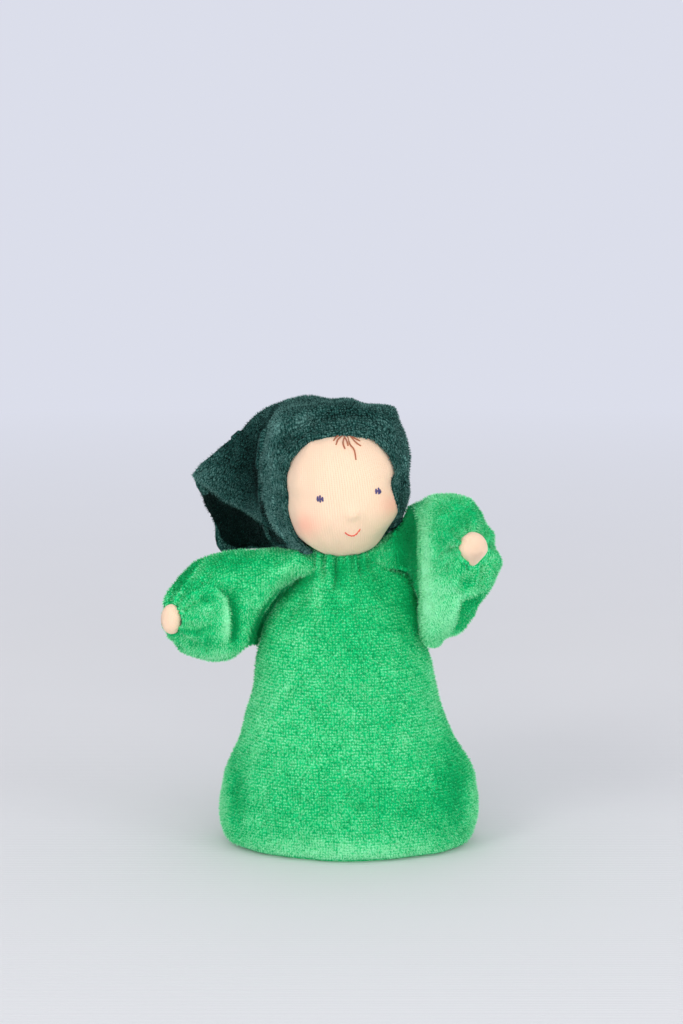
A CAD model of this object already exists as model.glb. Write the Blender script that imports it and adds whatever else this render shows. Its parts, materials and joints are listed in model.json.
import json
import math

import bpy
import numpy as np
from mathutils import Matrix, Vector
from mathutils.bvhtree import BVHTree


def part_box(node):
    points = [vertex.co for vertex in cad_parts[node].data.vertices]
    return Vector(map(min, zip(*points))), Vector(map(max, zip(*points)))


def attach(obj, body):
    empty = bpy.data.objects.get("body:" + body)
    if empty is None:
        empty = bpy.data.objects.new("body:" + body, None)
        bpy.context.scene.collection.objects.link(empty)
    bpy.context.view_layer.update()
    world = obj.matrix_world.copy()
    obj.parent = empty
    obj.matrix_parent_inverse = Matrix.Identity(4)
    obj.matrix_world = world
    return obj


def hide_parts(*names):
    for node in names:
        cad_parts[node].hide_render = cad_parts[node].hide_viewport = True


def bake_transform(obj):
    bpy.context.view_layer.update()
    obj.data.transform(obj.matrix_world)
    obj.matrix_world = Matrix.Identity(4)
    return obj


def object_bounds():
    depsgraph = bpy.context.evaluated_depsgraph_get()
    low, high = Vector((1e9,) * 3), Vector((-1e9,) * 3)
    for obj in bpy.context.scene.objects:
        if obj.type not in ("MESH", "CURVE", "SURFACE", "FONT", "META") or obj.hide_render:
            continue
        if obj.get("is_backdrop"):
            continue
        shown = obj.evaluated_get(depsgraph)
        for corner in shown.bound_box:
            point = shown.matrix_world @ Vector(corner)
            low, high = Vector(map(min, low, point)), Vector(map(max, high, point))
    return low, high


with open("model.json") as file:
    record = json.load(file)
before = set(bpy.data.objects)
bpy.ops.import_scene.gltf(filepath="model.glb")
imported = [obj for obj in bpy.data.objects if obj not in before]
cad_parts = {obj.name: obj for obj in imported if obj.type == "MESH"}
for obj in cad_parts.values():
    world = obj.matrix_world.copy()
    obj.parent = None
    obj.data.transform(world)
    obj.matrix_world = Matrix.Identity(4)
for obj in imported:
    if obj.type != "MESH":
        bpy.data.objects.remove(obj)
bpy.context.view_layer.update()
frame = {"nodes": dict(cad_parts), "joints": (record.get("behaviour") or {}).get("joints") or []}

scene = bpy.context.scene

# The camera stands a little above the doll and looks straight at its front, as the photographer did.
# It shows about 3.85 pixels to the millimetre at the doll's middle.
photo_width, photo_height = 683, 1024
pixels_per_metre = 3850
camera_distance = 0.7
sensor_width = 36
nearest_seen, furthest_seen = 0.02, 20
camera_rise = math.radians(10)
aim = Vector((-0.0014, 0, 0.0882))
towards_camera = Vector((0, -math.cos(camera_rise), math.sin(camera_rise)))
camera_place = aim + towards_camera * camera_distance

camera_data = bpy.data.cameras.new("camera")
camera_data.sensor_fit = "HORIZONTAL"
camera_data.sensor_width = sensor_width
camera_data.lens = sensor_width * pixels_per_metre * camera_distance / photo_width
camera_data.clip_start, camera_data.clip_end = nearest_seen, furthest_seen
camera = bpy.data.objects.new("camera", camera_data)
camera.location = camera_place
camera.rotation_euler = towards_camera.to_track_quat("Z", "Y").to_euler()
scene.collection.objects.link(camera)
scene.camera = camera

# The gown: front and back panels of green knitted velour, sewn at the sides and filled with wool,
# gathered at the neck by a thread and turned under at the lower edge. Its form is read from the CAD panels.
mm = 0.001
velour_thickness = 0.8 * mm
gown_rows, gown_columns = 150, 264
gown_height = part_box("gown_front")[1].z
joints = {joint["name"]: joint for joint in frame["joints"]}
head_centre = Vector(joints["head_nod"]["pos_m"])
collar_axis = Vector((head_centre.x, head_centre.y, 0))
# Valleys of the gathers: angle from the front towards the doll's left, depth and length in millimetres,
# and half width in degrees
gathers = [
    (-158, 1.1, 12, 6), (-128, 1.0, 11, 7), (-101, 0.9, 12, 6), (-80, 1.1, 10, 5), (-60, 1.1, 13, 6),
    (-38, 1.1, 9, 5), (-15, 1.9, 9, 6), (3, 0.9, 9, 4), (16, 1.1, 10, 5), (33, 1.3, 9, 5), (50, 0.8, 13, 6),
    (74, 1.0, 12, 6), (99, 1.1, 10, 7), (127, 0.9, 13, 7), (152, 1.1, 11, 6), (176, 1.0, 12, 5),
]
# Creases: a line in the photograph, half width in pixels, and depth in millimetres, or a ridge's height
# where it is negative
gown_creases = [
    ([(338, 560), (337, 572), (333, 590)], 3.5, 0.7),
    ([(322, 566), (314, 592), (306, 612)], 4, -0.5),
    ([(345, 566), (352, 590), (356, 612)], 4, -0.3),
    ([(303, 590), (285, 614), (276, 640)], 5, 0.4),
    ([(372, 590), (396, 610), (412, 640)], 6, 0.35),
    ([(244, 760), (232, 790), (236, 822)], 8, 0.5),
    ([(262, 742), (250, 786), (254, 826)], 9, -0.35),
    ([(452, 752), (462, 790), (458, 826)], 8, 0.35),
    ([(300, 690), (370, 712), (430, 700)], 22, 0.3),
]
# Pulls across the photograph: the pixel that is pulled, where it goes, and the reach in pixels
gown_moves = [
    ((249, 690), (252, 690), 32),
    ((219, 806), (218, 806), 20),
    ((396, 586), (413, 577), 20),
    ((412, 612), (422, 610), 18),
]
# Where the pile is brushed: pixel, half width and height, and how much lighter
gown_nap = [
    (452, 785, 20, 42, -0.32), (405, 808, 45, 16, -0.16), (237, 792, 8, 28, -0.3), (268, 715, 24, 45, 0.1),
    (345, 852, 130, 12, 0.28), (223, 800, 6, 40, 0.2), (473, 800, 7, 38, 0.25), (434, 690, 8, 40, 0.12),
    (360, 645, 32, 22, -0.14), (338, 572, 7, 11, -0.4), (362, 566, 16, 9, -0.25), (410, 600, 13, 28, -0.4),
    (345, 585, 60, 30, -0.05), (318, 592, 7, 22, 0.22), (347, 600, 8, 14, 0.12), (283, 592, 10, 9, -0.45),
    (330, 800, 60, 20, -0.08), (300, 640, 16, 26, 0.06), (382, 585, 12, 16, -0.1), (348, 602, 48, 28, -0.12),
    (256, 720, 12, 60, 0.06),
]
# Where the sleeves lap over the gown: a line, then the change and reach before it and past it
gown_shades = [
    (((260, 652), (266, 604), (272, 592), (282, 585), (300, 580), (312, 574), (316, 558)), 0, 1, -0.5, 7),
    (((376, 548), (395, 562), (407, 570), (420, 576), (422, 600), (421, 624), (425, 650)), 0, 1, -0.4, 8),
]


def in_photo(points):
    """The pixel of the photograph in which each point is seen."""
    right = np.array((1, 0, 0))
    up = np.array((0, math.sin(camera_rise), math.cos(camera_rise)))
    seen = np.asarray(points) - np.array(camera_place)
    depth = -seen @ np.array(towards_camera)
    scale = pixels_per_metre * camera_distance / depth
    return np.stack([photo_width / 2 + scale * (seen @ right), photo_height / 2 - scale * (seen @ up)], -1)


def facing(normals):
    """1 where a surface looks at the camera, and 0 where it looks away."""
    return ease(np.asarray(normals) @ np.array(towards_camera), -0.05, 0.3)


def ease(value, low, high):
    """From 0 at the low value to 1 at the high one, on a smooth curve."""
    t = np.clip((value - low) / (high - low), 0, 1)
    return t * t * (3 - 2 * t)


def bell(value, spread):
    """1 at zero, and less on both sides of it, down to about a third at the spread."""
    return np.exp(-((np.asarray(value) / spread) ** 2))


def beside_line(points, pixels):
    """How far in pixels each point is seen from a line drawn on the photograph, and its share along it.
    The distance is positive below a line drawn to the right."""
    seen = in_photo(points)
    far = np.full(seen.shape[:-1], 1e9)
    share = np.zeros(seen.shape[:-1])
    for k, (start, end) in enumerate(zip(pixels[:-1], pixels[1:])):
        start, run = np.array(start, float), np.subtract(end, start)
        along = np.clip((seen - start) @ run / (run @ run), 0, 1)
        away = np.linalg.norm(seen - start - along[..., None] * run, axis=-1)
        below = run[0] * (seen - start)[..., 1] - run[1] * (seen - start)[..., 0]
        nearer = away < abs(far)
        far = np.where(nearer, np.where(below < 0, -away, away), far)
        share = np.where(nearer, (k + along) / (len(pixels) - 1), share)
    return far, share


def tapered(share):
    """The strength of a line along its length: full in the middle and nothing at its ends."""
    return ease(share, -0.02, 0.2) * ease(1 - share, -0.02, 0.25)


def crease(points, normals, pixels, width, depth):
    """Height of a crease, or of a ridge where the depth is negative, along a line drawn on the photograph."""
    far, share = beside_line(points, pixels)
    return -depth * bell(far, width) * tapered(share) * facing(normals)


def lapped(points, normals, pixels, light, light_reach, dark, dark_reach):
    """How much lighter the pile looks along the edge of a fold, and darker where the fold shades it."""
    far, share = beside_line(points, pixels)
    under = ease(far, -1, 1)
    edge = light * bell(np.minimum(far, 0), light_reach) * (1 - under)
    shaded = dark * bell(np.maximum(far, 0), dark_reach) * under
    return (edge + shaded) * tapered(share) * facing(normals)


def nudged(points, moves):
    """Points moved across the photograph. A move has the pixel it starts from, its end and its reach."""
    seen = in_photo(points)
    weights = [bell(np.linalg.norm(seen - np.array(start), axis=-1), reach) for start, _, reach in moves]
    pulls = zip(weights, moves)
    steps = sum(weight[..., None] * np.subtract(end, start) for weight, (start, end, _) in pulls)
    return slid(points, steps / np.maximum(sum(weights), 1)[..., None])


def slid(points, pixels):
    """Points moved by so many pixels to the right and down in the photograph."""
    across = np.array((1, 0, 0)) / pixels_per_metre
    down = -np.array((0, math.sin(camera_rise), math.cos(camera_rise))) / pixels_per_metre
    return points + pixels[..., :1] * across + pixels[..., 1:] * down


def nap(points, patches):
    """How much lighter the pile looks where it is brushed up, and darker where it is brushed away."""
    seen = in_photo(points)
    total = np.zeros(seen.shape[:-1])
    for x, y, half_width, half_height, change in patches:
        total += change * bell(np.hypot((seen[..., 0] - x) / half_width, (seen[..., 1] - y) / half_height), 1)
    return total


def tree_of(*names):
    """The surfaces of CAD nodes, to be found by rays."""
    points, faces = [], []
    for name in names:
        mesh = frame["nodes"][name].data
        start = len(points)
        points += [vertex.co.copy() for vertex in mesh.vertices]
        faces += [[start + corner for corner in polygon.vertices] for polygon in mesh.polygons]
    return BVHTree.FromPolygons(points, faces)


def blurred(field, rows, columns):
    """A field of numbers smoothed along its rows and round its columns."""
    for _ in range(rows):
        padded = np.pad(field, ((1, 1), (0, 0)), mode="reflect", reflect_type="odd")
        field = (padded[:-2] + 2 * padded[1:-1] + padded[2:]) / 4
    for _ in range(columns):
        field = (np.roll(field, 1, 1) + 2 * field + np.roll(field, -1, 1)) / 4
    return field


def lumps(points, size, seed, waves=16):
    """Soft uneven swells of about the given size, the same at each run."""
    chance = np.random.default_rng(seed)
    directions = chance.normal(size=(waves, 3))
    directions /= np.linalg.norm(directions, axis=1)[:, None]
    directions *= 2 * math.pi / (size * chance.uniform(0.7, 1.8, (waves, 1)))
    phases = chance.uniform(0, 2 * math.pi, waves)
    return np.sin(points @ directions.T + phases).sum(-1) / math.sqrt(waves / 2)


def grid_normals(points, looped):
    """The direction square to a grid at each of its points."""
    along = np.gradient(points, axis=0)
    across = np.gradient(points, axis=1)
    if looped:
        across = (np.roll(points, -1, 1) - np.roll(points, 1, 1)) / 2
    normals = np.cross(across, along)
    return normals / np.maximum(np.linalg.norm(normals, axis=-1, keepdims=True), 1e-12)


def grid_faces(grid, uv, looped):
    """The faces of a grid of points, and where each of their corners lies on the flat cloth."""
    rows, columns = grid.shape[:2]
    spans = columns if looped else columns - 1
    row, column = np.meshgrid(np.arange(rows - 1), np.arange(spans), indexing="ij")
    row, column = row.ravel(), column.ravel()
    corners = ((row, column), (row, column + 1), (row + 1, column + 1), (row + 1, column))
    faces = np.stack([r * columns + c % columns for r, c in corners], 1)
    return faces, np.stack([uv[r, c] for r, c in corners], 1)


def cloth(name, right_side, thickness, uv, looped=False):
    """A piece of cloth with its right side on a grid of points and its wrong side the thickness inside."""
    rows, columns = right_side.shape[:2]
    wrong_side = right_side - grid_normals(right_side, looped) * thickness
    points = np.concatenate([right_side.reshape(-1, 3), wrong_side.reshape(-1, 3)])
    behind = rows * columns

    def edge(row, column, next_row, next_column):
        """The faces that close the cloth's thickness along one edge of the grid."""
        corners = ((row, column, 0), (next_row, next_column, 0), (next_row, next_column, 1), (row, column, 1))
        vertices = np.stack([r * columns + c % columns + side * behind for r, c, side in corners], 1)
        return vertices, np.stack([uv[r, c] for r, c, _ in corners], 1)

    front, front_spots = grid_faces(right_side, uv, looped)
    turned_over = [0, 3, 2, 1]
    faces = [(front, front_spots), (front[:, turned_over] + behind, front_spots[:, turned_over])]
    span = np.arange(columns if looped else columns - 1)
    low, high = np.zeros_like(span), np.full_like(span, rows - 1)
    faces.append(edge(low, span + 1, low, span))
    faces.append(edge(high, span, high, span + 1))
    if not looped:
        step = np.arange(rows - 1)
        first, last = np.zeros_like(step), np.full_like(step, columns - 1)
        faces.append(edge(step, first, step + 1, first))
        faces.append(edge(step + 1, last, step, last))
    return mesh_piece(name, points, *(np.concatenate(parts) for parts in zip(*faces)))


def mesh_piece(name, points, faces, spots=None):
    """An object of points and faces, with a UV map where spots are given."""
    mesh = bpy.data.meshes.new(name)
    mesh.from_pydata(np.asarray(points).tolist(), [], np.asarray(faces).tolist())
    if spots is not None:
        mesh.uv_layers.new(name="cloth").data.foreach_set("uv", spots.reshape(-1).astype(np.float32))
    return placed(name, mesh)


def placed(name, mesh):
    """A mesh with smooth shading as an object in the scene."""
    mesh.polygons.foreach_set("use_smooth", np.ones(len(mesh.polygons), bool))
    made = bpy.data.objects.new(name, mesh)
    scene.collection.objects.link(made)
    return made


def painted(piece, name, field, sides=2):
    """Keeps a number for each point of a piece's grid, on each side of the cloth, for its finish."""
    values = np.tile(np.asarray(field).reshape(-1), sides).astype(np.float32)
    piece.data.attributes.new(name, "FLOAT", "POINT").data.foreach_set("value", values)


def arc_lengths(points, axis):
    """Distance run along a grid's rows or columns from its first."""
    steps = np.linalg.norm(np.diff(points, axis=axis), axis=-1)
    start = np.zeros_like(np.take(steps, [0], axis))
    return np.concatenate([start, np.cumsum(steps, axis)], axis)


def cloth_uv(points, centre, gathered=1.0):
    """Where each point lies on the flat cloth, in metres, with its columns counted from a centre column."""
    across = arc_lengths(points, 1)
    across = (across - across[:, [centre]]) * gathered
    along = arc_lengths(points, 0)
    return np.stack([across, np.broadcast_to(along[:, [centre]], across.shape)], -1)


class Sum:
    """A number that a finish works out at each point. Arithmetic on it adds Math nodes."""

    def __init__(self, finish, socket):
        self.finish, self.socket = finish, socket

    def math(self, operation, *others):
        """The number that a Math node makes of this one and others."""
        values = [self.socket] + [o.socket if isinstance(o, Sum) else o for o in others]
        node = self.finish.node("ShaderNodeMath", {"operation": operation}, dict(enumerate(values)))
        return Sum(self.finish, node.outputs[0])

    def __add__(self, other):
        return self.math("ADD", other)

    def __mul__(self, other):
        return self.math("MULTIPLY", other)

    def __sub__(self, other):
        return self.math("SUBTRACT", other)

    def __truediv__(self, other):
        return self.math("DIVIDE", other)

    def __rsub__(self, other):
        return self.math("MULTIPLY", -1.0).math("ADD", other)

    def held(self):
        """The number kept between 0 and 1."""
        return self.math("MINIMUM", 1.0).math("MAXIMUM", 0.0)

    def wave(self):
        """A wave between 0 and 1 of the number as an angle."""
        return self.math("COSINE") * 0.5 + 0.5


class Finish:
    """A material being built: one Principled surface and the nodes that vary it."""

    def __init__(self, name, **constants):
        self.material = bpy.data.materials.new(name)
        self.material.use_nodes = True
        self.tree = self.material.node_tree
        self.tree.nodes.clear()
        self.surface = self.node("ShaderNodeBsdfPrincipled", {}, constants)
        self.node("ShaderNodeOutputMaterial", {}, {"Surface": self.surface.outputs[0]})

    def node(self, kind, settings, sockets):
        """A new node with its settings, and with its sockets set or linked."""
        made = self.tree.nodes.new(kind)
        for name, value in settings.items():
            setattr(made, name, value)
        for name, value in sockets.items():
            value = value.socket if isinstance(value, Sum) else value
            if isinstance(value, bpy.types.NodeSocket):
                self.tree.links.new(value, made.inputs[name])
            else:
                made.inputs[name].default_value = value
        return made

    def number(self, kind, settings, sockets, output=0):
        """The number that a new node gives out."""
        return Sum(self, self.node(kind, settings, sockets).outputs[output])

    def place(self):
        """Where a point lies in the frame."""
        return self.node("ShaderNodeTexCoord", {}, {}).outputs["Object"]

    def cloth_place(self):
        """Where a point lies on the flat cloth, across and along it."""
        spot = self.node("ShaderNodeUVMap", {"uv_map": "cloth"}, {}).outputs[0]
        parts = self.node("ShaderNodeSeparateXYZ", {}, {0: spot})
        return Sum(self, parts.outputs[0]), Sum(self, parts.outputs[1])

    def noise(self, size, detail=2.0, roughness=0.5):
        """Even random patches of about the given size, from 0 to 1."""
        sockets = {"Vector": self.place(), "Scale": 1 / size, "Detail": detail, "Roughness": roughness}
        return self.number("ShaderNodeTexNoise", {}, sockets)

    def mixed(self, factor, first, second):
        """One colour going over into another as the factor goes from 0 to 1."""
        return self.node("ShaderNodeMix", {"data_type": "RGBA"}, {0: factor, 6: first, 7: second}).outputs[2]

    def colour(self, value):
        """Links the surface's colour."""
        self.tree.links.new(value, self.surface.inputs["Base Color"])

    def bump(self, height, depth):
        """Gives the surface fine relief of a height from 0 to 1 and a depth in metres."""
        made = self.node("ShaderNodeBump", {}, {"Height": height, "Distance": depth})
        self.tree.links.new(made.outputs[0], self.surface.inputs["Normal"])


def velour(name, gap, deep, light, sheen, sheen_weight):
    """Knitted velour: uneven tufts in columns and rows over a darker ground, brushed here and there."""
    soft = {"Sheen Weight": sheen_weight, "Sheen Roughness": 0.35, "Sheen Tint": sheen}
    finish = Finish(name, Roughness=0.95, **soft, **{"Specular IOR Level": 0.06})
    across, along = finish.cloth_place()
    wander = finish.noise(2.4 * mm, 2.0) - 0.5
    knit_spot = {0: across / wale + wander * 1.2, 1: along / course + wander * 0.9}
    knit = finish.node("ShaderNodeCombineXYZ", {}, knit_spot)
    knit_place = {"Vector": knit.outputs[0], "Scale": 1.0, "Randomness": tuft_unevenness}
    from_tuft = finish.number("ShaderNodeTexVoronoi", {"voronoi_dimensions": "2D"}, knit_place)
    rows = (along * (2 * math.pi / course) + wander * 5).wave()
    tufts = (1.05 - from_tuft * 1.35).held() * (rows * 0.5 + 0.75)
    fluff = finish.noise(0.45 * mm, 2.0, 0.6)
    worn = finish.noise(3.4 * mm, 2.0)
    strands = finish.noise(0.25 * mm, 1.0)
    brushed = finish.number("ShaderNodeAttribute", {"attribute_name": "nap"}, {}, 2)
    tip = finish.number("ShaderNodeAttribute", {"attribute_name": "tip"}, {}, 2)
    uneven = (worn - 0.5) * 0.45 + (fluff - 0.5) * 0.9 + (strands - 0.5) * 0.5
    depth = tufts * 0.6 + uneven + brushed + tip * 0.5 + 0.1
    ground = finish.mixed((depth * 2.5).held(), gap, deep)
    finish.colour(finish.mixed(((depth - 0.4) * 1.7).held(), ground, light))
    finish.bump(tufts * 0.6 + fluff * 0.5 + strands * 0.3, 0.22 * mm)
    return finish.material


# The knit's columns and rows, and how unevenly its tufts lie in them
wale, course = 0.7 * mm, 0.76 * mm
tuft_unevenness = 0.62
green_velour = velour(
    "green velour", (0.002, 0.35, 0.1, 1), (0.006, 0.6, 0.2, 1), (0.37, 0.92, 0.56, 1), (0.3, 1, 0.55, 1), 0.2
)


def geometry_tree(name, given, made):
    """An empty Geometry Nodes tree with its inputs and its output, and the function that adds nodes to it.
    A node's sockets are given by name, or as s and their number."""
    tree = bpy.data.node_groups.new(name, "GeometryNodeTree")
    for socket, kind in given.items():
        tree.interface.new_socket(socket, in_out="INPUT", socket_type="NodeSocket" + kind)
    tree.interface.new_socket(made, in_out="OUTPUT", socket_type="NodeSocketGeometry")

    def node(kind, settings=(), **sockets):
        added = tree.nodes.new(kind)
        for setting, value in dict(settings).items():
            setattr(added, setting, value)
        for socket, value in sockets.items():
            place = added.inputs[int(socket[1:]) if socket[1:].isdigit() else socket.replace("_", " ")]
            if isinstance(value, bpy.types.NodeSocket):
                tree.links.new(value, place)
            else:
                place.default_value = value
        return added

    return tree, node


def pile_tree():
    """Geometry Nodes that grow short fibres on the right side of a cloth, thickest in the knit's columns and
    rows. They lean down and a little at random, and each turns its flat side outwards. A fibre is one narrow
    triangle."""
    sizes = dict.fromkeys(("Density", "Wale", "Course", "Length", "Width", "Unrest", "Droop"), "Float")
    inputs = {"Cloth": "Geometry", **sizes, "Seed": "Int", "Finish": "Material"}
    tree, node = geometry_tree("pile of velour", inputs, "Pile")
    given = node("NodeGroupInput").outputs
    seed = given["Seed"]
    sown = {"Mesh": given["Cloth"], "Density": given["Density"], "Seed": seed}
    roots = node("GeometryNodeDistributePointsOnFaces", **sown)
    calculate, vector = "ShaderNodeMath", "ShaderNodeVectorMath"
    spot = node("GeometryNodeInputNamedAttribute", {"data_type": "FLOAT_VECTOR"}, Name="cloth")
    spot = node("ShaderNodeSeparateXYZ", s0=spot.outputs[0])
    wander = node("ShaderNodeTexNoise", Scale=1 / (2.4 * mm)).outputs[0]
    share = 1.0
    for axis, period in ((0, "Wale"), (1, "Course")):
        count = node(calculate, {"operation": "DIVIDE"}, s0=spot.outputs[axis], s1=given[period])
        count = node(calculate, {"operation": "ADD"}, s0=count.outputs[0], s1=wander)
        turn = node(calculate, {"operation": "MULTIPLY"}, s0=count.outputs[0], s1=2 * math.pi)
        wave = node(calculate, {"operation": "COSINE"}, s0=turn.outputs[0])
        part = node(calculate, {"operation": "MULTIPLY_ADD"}, s0=wave.outputs[0], s1=0.42, s2=0.58)
        share = node(calculate, {"operation": "MULTIPLY"}, s0=part.outputs[0], s1=share).outputs[0]
    lot = node("FunctionNodeRandomValue", Seed=3)
    between = node(calculate, {"operation": "GREATER_THAN"}, s0=lot.outputs[1], s1=share)
    points = roots.outputs["Points"]
    planted = node("GeometryNodeDeleteGeometry", Geometry=points, Selection=between.outputs[0])
    random_way = {"data_type": "FLOAT_VECTOR"}
    chance = node("FunctionNodeRandomValue", random_way, s0=(-1, -1, -1), s1=(1, 1, 1), Seed=seed).outputs[0]
    drooping = node(vector, {"operation": "SCALE"}, s0=(0, 0, -1), Scale=given["Droop"])
    bent = {"s0": chance, "s1": given["Unrest"], "s2": drooping.outputs[0]}
    leaning = node(vector, {"operation": "MULTIPLY_ADD"}, **bent)
    way = node(vector, {"operation": "ADD"}, s0=leaning.outputs[0], s1=roots.outputs["Normal"])
    inwards = node(vector, {"operation": "SCALE"}, s0=roots.outputs["Normal"], Scale=-1.0)
    align = "FunctionNodeAlignRotationToVector"
    upright = node(align, {"axis": "Z"}, Vector=way.outputs[0])
    facing_out = {"Rotation": upright.outputs[0], "Vector": inwards.outputs[0]}
    turned = node(align, {"axis": "X", "pivot_axis": "Z"}, **facing_out)

    # A circle of three corners, stretched into a blade that stands with its root at the middle
    third = node(calculate, {"operation": "DIVIDE"}, s0=given["Length"], s1=3.0)
    longways = node(calculate, {"operation": "MULTIPLY"}, s0=third.outputs[0], s1=2.0)
    sideways = node(calculate, {"operation": "DIVIDE"}, s0=given["Width"], s1=math.sqrt(3))
    flat = node("GeometryNodeMeshCircle", {"fill_type": "NGON"}, Vertices=3)
    size = node("ShaderNodeCombineXYZ", X=longways.outputs[0], Y=sideways.outputs[0], Z=1.0)
    rise = node("ShaderNodeCombineXYZ", Z=third.outputs[0])
    blade = node("GeometryNodeTransform", Geometry=flat.outputs[0], Translation=rise.outputs[0],
                 Rotation=(0, -math.pi / 2, 0), Scale=size.outputs[0])
    height = node("ShaderNodeSeparateXYZ", s0=node("GeometryNodeInputPosition").outputs[0])
    tip = node(calculate, {"operation": "DIVIDE"}, s0=height.outputs["Z"], s1=given["Length"])
    kept = {"Geometry": blade.outputs[0], "Name": "tip", "Value": tip.outputs[0]}
    blade = node("GeometryNodeStoreNamedAttribute", **kept)

    growth = node("FunctionNodeRandomValue", s2=0.6, s3=1.15, Seed=seed)
    grown = node("GeometryNodeInstanceOnPoints", Points=planted.outputs[0], Instance=blade.outputs[0],
                 Rotation=turned.outputs[0], Scale=growth.outputs[1])
    real = node("GeometryNodeRealizeInstances", Geometry=grown.outputs[0])
    painted_pile = node("GeometryNodeSetMaterial", Geometry=real.outputs[0], Material=given["Finish"])
    node("NodeGroupOutput", Pile=painted_pile.outputs[0])
    return tree


pile_nodes = pile_tree()
# A fibre's length and width, and how many are sown to the square metre
pile_length, pile_width, pile_density = 0.7 * mm, 0.24 * mm, 32e6
pile_unrest, pile_droop = 0.3, 0.4
pile_seed = 5
# How far the ground of the cloth lies under its pile's outline
pile_depth = 0.45 * mm


def grown_by(piece, tree, inputs):
    """Runs a Geometry Nodes tree on a piece and keeps what it makes as a plain mesh."""
    modifier = piece.modifiers.new(tree.name, "NODES")
    modifier.node_group = tree
    for item in tree.interface.items_tree:
        if item.in_out == "INPUT" and item.name in inputs:
            modifier[item.identifier] = inputs[item.name]
    bpy.context.view_layer.update()
    grown = piece.evaluated_get(bpy.context.evaluated_depsgraph_get())
    piece.data = bpy.data.meshes.new_from_object(grown)
    piece.modifiers.clear()
    piece.data.name = piece.name
    return piece


def pile(name, right_side, uv, brushed, finish, looped=False):
    """The fibres that stand on a velour cloth, as a piece of their own."""
    faces, spots = grid_faces(right_side, uv, looped)
    made = mesh_piece(name, right_side.reshape(-1, 3), faces, spots)
    painted(made, "nap", brushed, sides=1)
    sizes = {"Density": pile_density, "Length": pile_length, "Width": pile_width}
    leaning = {"Wale": wale, "Course": course, "Unrest": pile_unrest, "Droop": pile_droop, "Seed": pile_seed}
    return grown_by(made, pile_nodes, {**sizes, **leaning, "Finish": finish})


def velour_piece(name, grid, uv, thickness, finish, patches, shades, shown, looped=False):
    """A cloth of velour with its brushed places, and the pile that stands on it as a piece of its own."""
    made = cloth(name + "_cloth", grid, thickness, uv, looped)
    made.data.materials.append(finish)
    normals = grid_normals(grid, looped)
    brushed = nap(grid, patches) + sum(lapped(grid, normals, *shade) for shade in shades)
    painted(made, "nap", brushed)
    return made, pile(name + "_pile", grid[shown], uv[shown], brushed[shown], finish, looped)


def fitted(piece, body, node):
    """Fixes a piece to its body, in the place of its CAD node."""
    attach(piece, body)
    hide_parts(node)


def stuffing(name, skin, inset, finish):
    """Loose wool that fills a piece: the grid of the cloth round it, brought in a little and closed."""
    swell_height, swell_size = 0.25 * mm, 5 * mm
    wool = skin - grid_normals(skin, True) * inset
    wool += grid_normals(skin, True) * (swell_height * lumps(skin, swell_size, seed=71))[..., None]
    rows, columns = wool.shape[:2]
    points = np.concatenate([wool.reshape(-1, 3), [wool[0].mean(0)], [wool[-1].mean(0)]])
    row, column = np.meshgrid(np.arange(rows - 1), np.arange(columns), indexing="ij")
    row, column = row.ravel(), column.ravel()
    beside = (column + 1) % columns
    corners = ((row, column), (row, beside), (row + 1, beside), (row + 1, column))
    sides = np.stack([r * columns + c for r, c in corners], 1)
    first, last = rows * columns, rows * columns + 1
    top = (rows - 1) * columns
    first_end = [(first, (k + 1) % columns, k) for k in range(columns)]
    last_end = [(last, top + k, top + (k + 1) % columns) for k in range(columns)]
    mesh = bpy.data.meshes.new(name)
    mesh.from_pydata(points.tolist(), [], sides.tolist() + first_end + last_end)
    mesh.materials.append(finish)
    return placed(name, mesh)


def wool_finish(name, colour, shade):
    """Carded wool: a cloud of fine fibres with soft light and dark locks."""
    soft = {"Sheen Weight": 0.4, "Sheen Roughness": 0.5, "Specular IOR Level": 0.1}
    finish = Finish(name, Roughness=0.95, **soft)
    locks, fibres = finish.noise(2 * mm, 3.0), finish.noise(0.3 * mm, 2.0)
    finish.colour(finish.mixed(((locks - 0.5) * 1.2 + fibres * 0.6 + 0.2).held(), shade, colour))
    finish.bump(locks + fibres * 0.6, 0.5 * mm)
    return finish.material


loose_wool = wool_finish("loose wool", (0.86, 0.84, 0.78, 1), (0.68, 0.65, 0.57, 1))

gown_panels = tree_of("gown_front", "gown_back")
heights = gown_height * np.linspace(0, 1, gown_rows)
angles = (np.arange(gown_columns) + 0.5) / gown_columns * 2 * math.pi - math.pi
ray_start = 0.1
lowest_ray, highest_ray = 0.05 * mm, gown_height - 1.2 * mm
beside_seam = 0.2 * mm
radii = np.zeros((gown_rows, gown_columns))
for row, height in enumerate(heights):
    for column, angle in enumerate(angles):
        way = Vector((math.cos(angle), math.sin(angle), 0))
        level = min(max(height, lowest_ray), highest_ray)
        middle = Vector((collar_axis.x * height / gown_height, math.copysign(beside_seam, way.y), level))
        hit = gown_panels.ray_cast(way * ray_start + middle, -way)
        radii[row, column] = ray_start - hit[3]
# The filling swells the panels low down, most of all in front.
panel_ease, low_swell, edge_swell, front_swell = 0.25 * mm, 0.8, 1.5, 3 * mm
radii = blurred(radii, rows=6, columns=26) + panel_ease
radii += mm * (low_swell * bell(heights - 9 * mm, 14 * mm) + edge_swell * bell(heights, 4.5 * mm))[:, None]
radii += front_swell * bell(heights, 16 * mm)[:, None] * bell(np.degrees(angles) + 90, 50)
spread = np.stack([np.cos(angles), np.sin(angles)], -1)
gown = np.zeros((gown_rows, gown_columns, 3))
gown[..., :2] = radii[..., None] * spread
gown[..., 0] += (collar_axis.x * heights / gown_height)[:, None]
gown[..., 2] = heights[:, None]

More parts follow.
